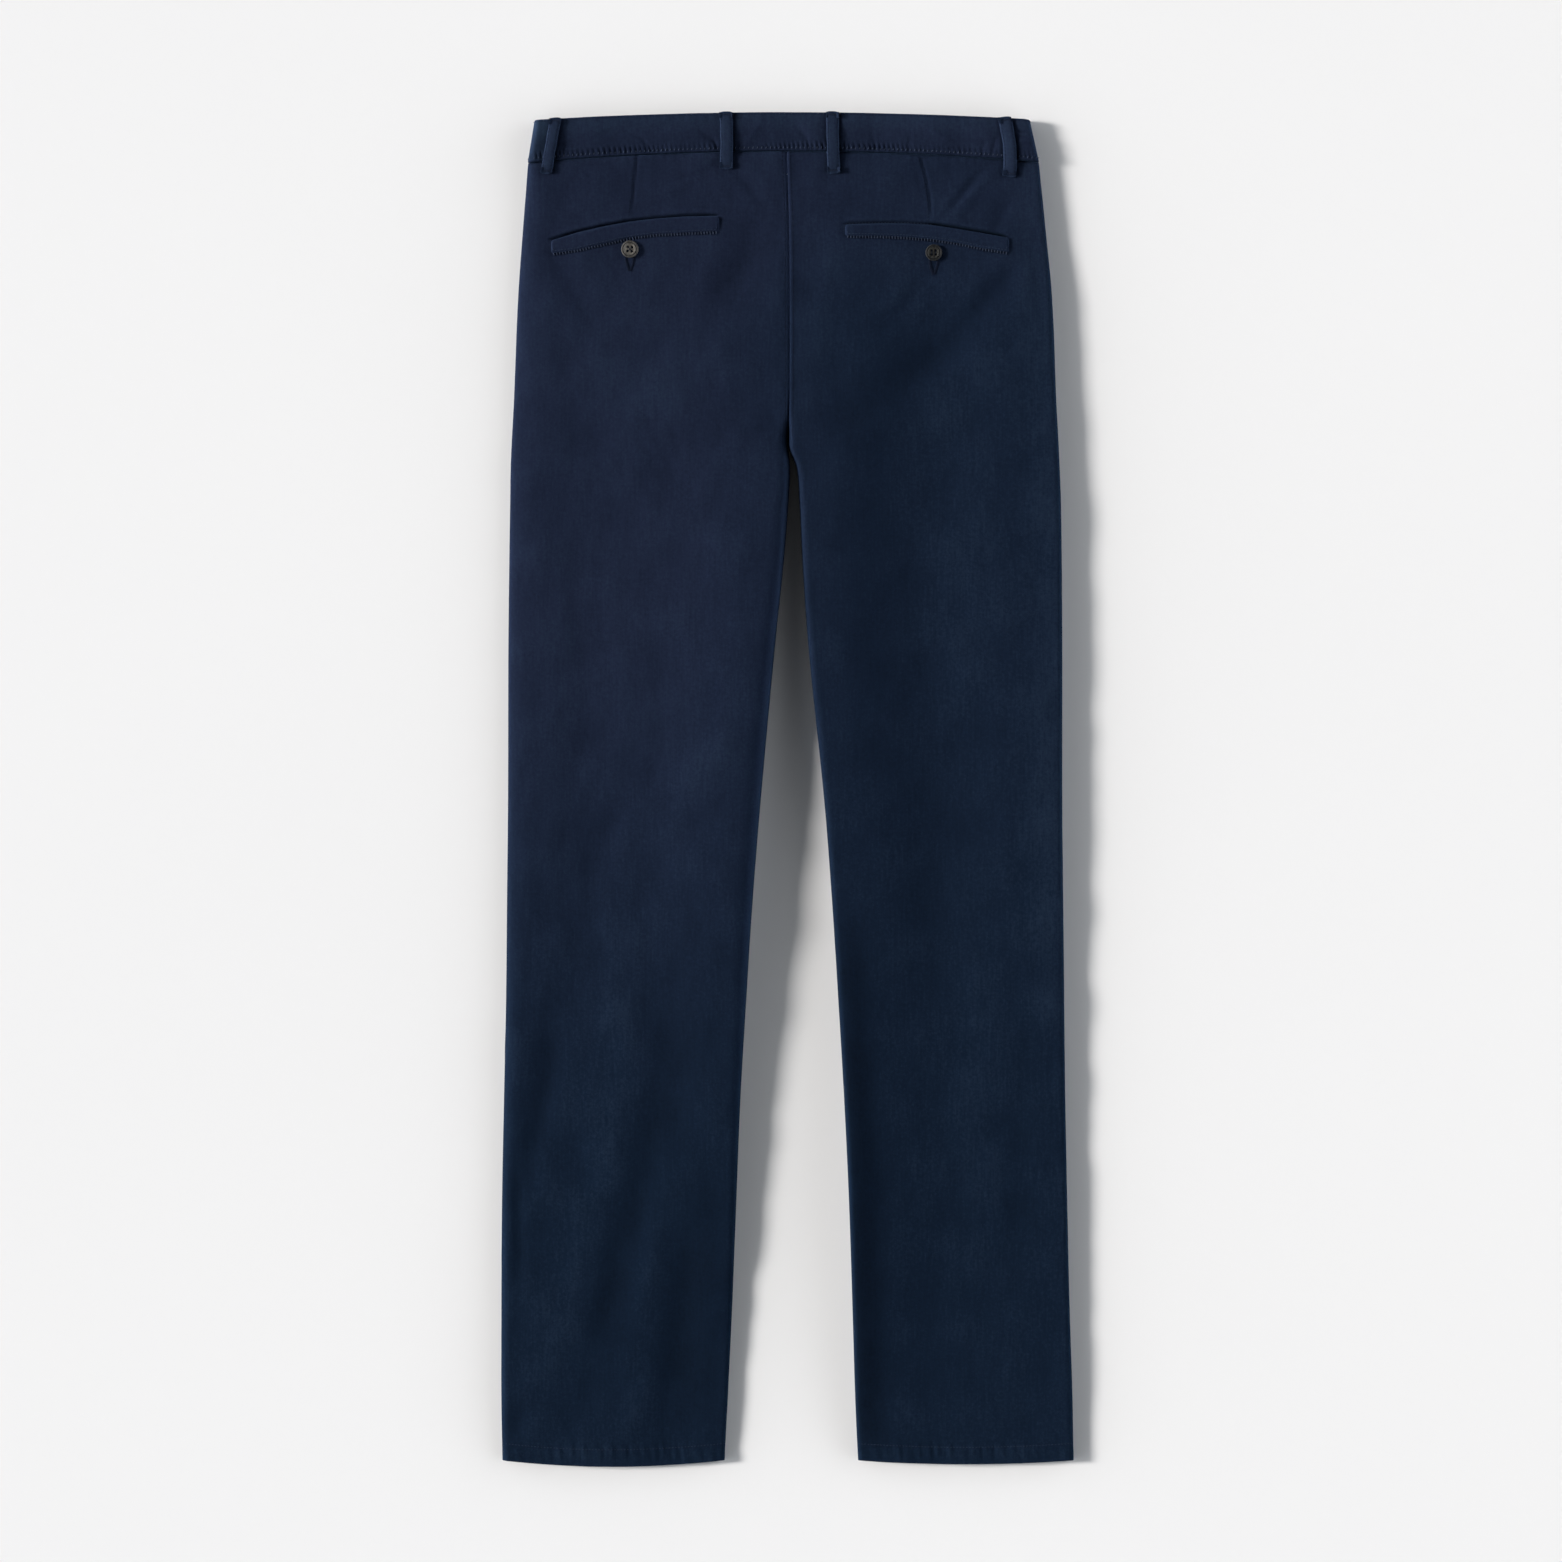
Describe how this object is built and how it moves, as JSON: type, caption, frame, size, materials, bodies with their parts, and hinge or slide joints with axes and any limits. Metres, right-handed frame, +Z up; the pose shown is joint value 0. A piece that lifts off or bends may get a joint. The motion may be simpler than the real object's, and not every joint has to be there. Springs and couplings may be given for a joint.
{
  "type": "chino trousers",
  "caption": "Straight-leg cotton chino trousers lying flat with the back up: waistband with belt loops, welt back pockets with buttons, fly and turned-up hems.",
  "frame": {"origin": "on the surface that the trousers lie on, under the middle of their box", "axes": "+Y towards the waist along the legs, +X towards the wearer's right, +Z up through the back of the trousers"},
  "size_m": [0.469, 1.1095, 0.013],
  "materials": {
    "cloth": "navy cotton twill, soft and matt",
    "band_cloth": "navy cotton twill, two layers and sewn",
    "horn": "grey-brown horn-like, satin",
    "dark_horn": "dark horn-like, satin"
  },
  "bodies": {
    "root": {"back_left": "cloth", "back_right": "cloth", "front_left": "cloth", "front_right": "cloth", "fly_placket": "cloth", "welt_left": "cloth", "welt_right": "cloth", "waistband": "band_cloth", "belt_loop_left_side": "band_cloth", "belt_loop_left_back": "band_cloth", "belt_loop_right_back": "band_cloth", "belt_loop_right_side": "band_cloth", "belt_loop_left_front": "band_cloth", "belt_loop_right_front": "band_cloth", "pocket_button_left": "horn", "pocket_button_right": "dark_horn", "waist_button": "horn"}
  },
  "joints": []
}
